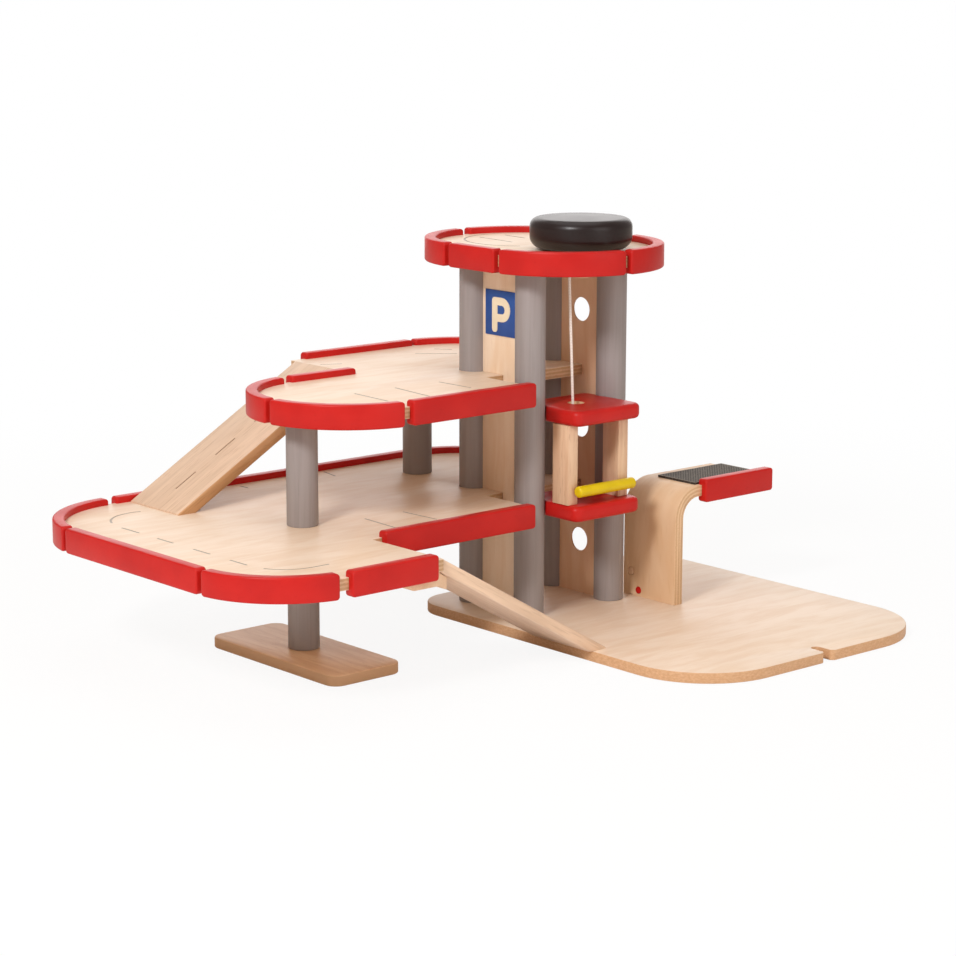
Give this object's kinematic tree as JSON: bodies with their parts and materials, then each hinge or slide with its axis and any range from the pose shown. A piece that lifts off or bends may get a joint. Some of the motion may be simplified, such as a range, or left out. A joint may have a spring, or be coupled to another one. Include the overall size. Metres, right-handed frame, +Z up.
{
  "type": "toy parking garage with lift",
  "caption": "Wooden toy parking garage: red-rimmed ply decks joined by ramps round a dowel tower, with a lift car wound up and down by a dial on the roof.",
  "frame": {"origin": "middle of the outer box, on the surface that the garage stands on", "axes": "+X along the boards' longest side, towards the service shelf; -Y towards the front, where the lift opens; +Z up"},
  "size_m": [0.6144, 0.4556, 0.342],
  "materials": {
    "ply": "clear satin lacquer on birch ply, brown laminations on the edges",
    "beech": "clear satin lacquer",
    "red_paint": "satin red paint, worn pale at the edges",
    "grey_paint": "matt grey stain",
    "black_paint": "gloss black paint",
    "yellow_paint": "gloss yellow paint",
    "blue_paint": "satin blue print",
    "cream_paint": "matt cream print",
    "mat": "dark ribbed mat",
    "cord": "white braided cord",
    "steel": "bright pin"
  },
  "bodies": {
    "garage": {"base_board": "ply", "mid_deck": "ply", "upper_deck": "ply", "top_deck": "ply", "tower_wall_left": "ply", "tower_wall_right": "ply", "shelf": "ply", "foot_board": "beech", "small_ramp": "beech", "big_ramp": "beech", "small_ramp_cleat": "beech", "big_ramp_cleat": "beech", "dial_washer": "beech", "shelf_plug": "beech", "mid_rim_left": "red_paint", "mid_rim_front_left_corner": "red_paint", "mid_rim_front_strip": "red_paint", "mid_rim_front": "red_paint", "mid_rim_back_short": "red_paint", "mid_rim_back_long": "red_paint", "mid_rim_back_left_corner": "red_paint", "mid_rim_right": "red_paint", "mid_rim_back_right_corner": "red_paint", "upper_rim_loop_back": "red_paint", "upper_rim_loop_front": "red_paint", "upper_rim_front": "red_paint", "upper_rim_divider": "red_paint", "upper_rim_back": "red_paint", "upper_rim_right": "red_paint", "upper_rim_back_right_corner": "red_paint", "top_rim_left": "red_paint", "top_rim_front_left": "red_paint", "top_rim_front_right": "red_paint", "top_rim_right": "red_paint", "top_rim_back_right": "red_paint", "top_rim_back_left": "red_paint", "shelf_rim": "red_paint", "shelf_pin": "red_paint", "tower_post_front_left": "grey_paint", "tower_post_front_right": "grey_paint", "tower_post_back_left": "grey_paint", "tower_post_back_right": "grey_paint", "loop_post_lower": "grey_paint", "loop_post_upper": "grey_paint", "back_post": "grey_paint", "parking_sign": "blue_paint", "parking_letter": "cream_paint", "shelf_mat": "mat", "lift_cord": "cord"},
    "winder": {"dial": "black_paint", "dial_axle": "beech", "spool": "beech", "wound_cord": "cord"},
    "lift": {"lift_bottom_plate": "red_paint", "lift_top_plate": "red_paint", "lift_post_left": "beech", "lift_post_right": "beech", "cord_knot": "cord", "gate_pin": "steel"},
    "gate": {"gate_rod": "yellow_paint"}
  },
  "joints": [
    {"name": "dial_turn", "type": "hinge", "parent": "garage", "child": "winder", "pos_m": [0.1075, 0.00325, 0.315], "axis": [0, 0, 1], "range_deg": [-516.5, 618]},
    {"name": "lift_slide", "type": "slide", "parent": "garage", "child": "lift", "axis": [0, 0, 1], "range_m": [-0.0853, 0.102], "deforming": ["lift_cord"]},
    {"name": "gate_swing", "type": "hinge", "parent": "lift", "child": "gate", "pos_m": [0.13395, -0.0278, 0.119], "axis": [0, 1, 0], "range_deg": [-6, 60]}
  ],
  "couplings": [
    {"joint": "lift_slide", "follows": "dial_turn", "m_per_rad": 0.00945}
  ]
}
